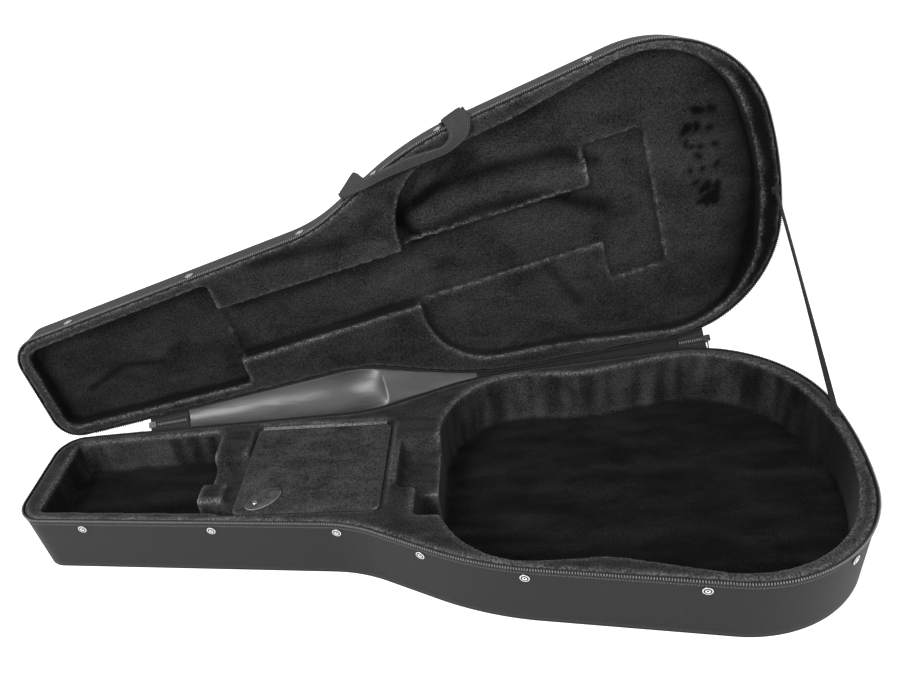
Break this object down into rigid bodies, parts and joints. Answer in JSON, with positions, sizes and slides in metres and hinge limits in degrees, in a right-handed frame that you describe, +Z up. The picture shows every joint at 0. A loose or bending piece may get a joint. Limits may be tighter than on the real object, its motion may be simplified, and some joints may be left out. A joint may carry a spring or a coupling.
{
  "type": "acoustic guitar case",
  "caption": "Lightweight foam acoustic guitar case standing open, with zip closure, plush fitted interior, lidded accessory box, webbing handle and stay tape.",
  "frame": {"origin": "centre of the base's flat underside", "axes": "+X from the headstock end to the tail, +Y to the hinge side, +Z up"},
  "size_m": [1.1292, 0.5426, 0.543],
  "materials": {
    "woven_cover": "woven synthetic, charcoal",
    "piping": "smooth cord, black",
    "plush": "short black plush",
    "foam": "closed-cell foam, hidden",
    "board": "hardboard, hidden",
    "rivet_metal": "satin nickel",
    "slider_metal": "satin black",
    "zipper_coil": "moulded nylon",
    "webbing": "ribbed webbing",
    "edge_cloth": "flat cloth binding",
    "gusset_cloth": "grey satin lining cloth",
    "leather": "smooth dark leather",
    "grip": "stitched webbing wrap"
  },
  "bodies": {
    "base": {"base_outer_cover": "woven_cover", "base_panel_cover": "woven_cover", "base_piping": "piping", "base_rivets": "rivet_metal", "base_plush_lining": "plush", "base_zipper_tape": "webbing", "base_zipper_coil": "zipper_coil", "base_hinge_strip": "edge_cloth", "base_floor_foam": "foam", "base_head_end_wall": "foam", "base_head_floor_pad": "foam", "base_neck_wall_front": "foam", "base_neck_wall_back": "foam", "neck_rest_block": "foam", "heel_block": "foam", "base_shoulder_wall_front": "foam", "base_shoulder_wall_back": "foam", "base_bout_wall_front": "foam", "base_bout_wall_back": "foam", "box_lid_hinge_tape": "webbing", "hinge_gusset": "gusset_cloth", "hinge_flex_strip": "edge_cloth", "left_zip_stub": "webbing", "right_zip_stub": "webbing", "stay_base_patch": "webbing", "stay_tape": "webbing"},
    "lid": {"lid_outer_cover": "woven_cover", "lid_panel_cover": "woven_cover", "lid_piping": "piping", "lid_rivets": "rivet_metal", "lid_plush_lining": "plush", "lid_zipper_tape": "webbing", "lid_zipper_coil": "zipper_coil", "lid_hinge_strip": "edge_cloth", "lid_panel_foam": "foam", "lid_head_end_wall": "foam", "lid_head_pad": "foam", "lid_head_wall_front": "foam", "lid_head_wall_back": "foam", "lid_neck_filler_front": "foam", "lid_neck_filler_back": "foam", "lid_body_pad_front": "foam", "lid_body_pad_back": "foam", "lid_shoulder_wall_front": "foam", "lid_shoulder_wall_back": "foam", "lid_bout_wall_front": "foam", "lid_bout_wall_back": "foam", "handle_patches": "webbing", "stay_lid_patch": "webbing"},
    "box_lid": {"box_lid_board": "board", "box_lid_plush": "plush", "tab_rivet": "rivet_metal"},
    "tab": {"pull_tab": "leather"},
    "handle": {"handle_webbing": "webbing", "handle_grip": "grip"},
    "left_slider": {"left_slider": "slider_metal"},
    "left_pull": {"left_slider_pull": "slider_metal"},
    "right_slider": {"right_slider": "slider_metal"},
    "right_pull": {"right_slider_pull": "slider_metal"}
  },
  "joints": [
    {"name": "lid_hinge", "type": "hinge", "parent": "base", "child": "lid", "pos_m": [-0.51717, 0.08617, 0.1008], "axis": [0.9878, 0.156, 0], "range_deg": [0, 95], "deforming": ["hinge_gusset", "hinge_flex_strip", "left_zip_stub", "right_zip_stub", "stay_tape"]},
    {"name": "box_lid_hinge", "type": "hinge", "parent": "base", "child": "box_lid", "pos_m": [-0.243, 0.0877, 0.097], "axis": [1, 0, 0], "range_deg": [-95, 0]},
    {"name": "tab_swivel", "type": "hinge", "parent": "box_lid", "child": "tab", "pos_m": [-0.209, -0.0685, 0.0973], "axis": [0, 0, 1], "range_deg": [-40, 40]},
    {"name": "handle_swing", "type": "hinge", "parent": "lid", "child": "handle", "pos_m": [0.00963, 0.21515, 0.44679], "axis": [0.881, 0.179, 0.438], "range_deg": [-95, 0]},
    {"name": "left_slider_slide", "type": "slide", "parent": "base", "child": "left_slider", "axis": [0.9923, 0.116, 0.044], "range_m": [0, 0.0345]},
    {"name": "left_pull_swing", "type": "hinge", "parent": "left_slider", "child": "left_pull", "pos_m": [-0.41101, 0.10477, 0.09885], "axis": [0.9923, 0.116, 0.044], "range_deg": [-15, 80]},
    {"name": "right_slider_slide", "type": "slide", "parent": "base", "child": "right_slider", "axis": [-0.9897, -0.026, -0.141], "range_m": [0, 0.0206]},
    {"name": "right_pull_swing", "type": "hinge", "parent": "right_slider", "child": "right_pull", "pos_m": [0.41622, 0.23137, 0.10337], "axis": [0.9897, 0.026, 0.141], "range_deg": [-15, 80]}
  ],
  "couplings": [
    {"joint": "handle_swing", "follows": "lid_hinge", "ratio": -1}
  ]
}
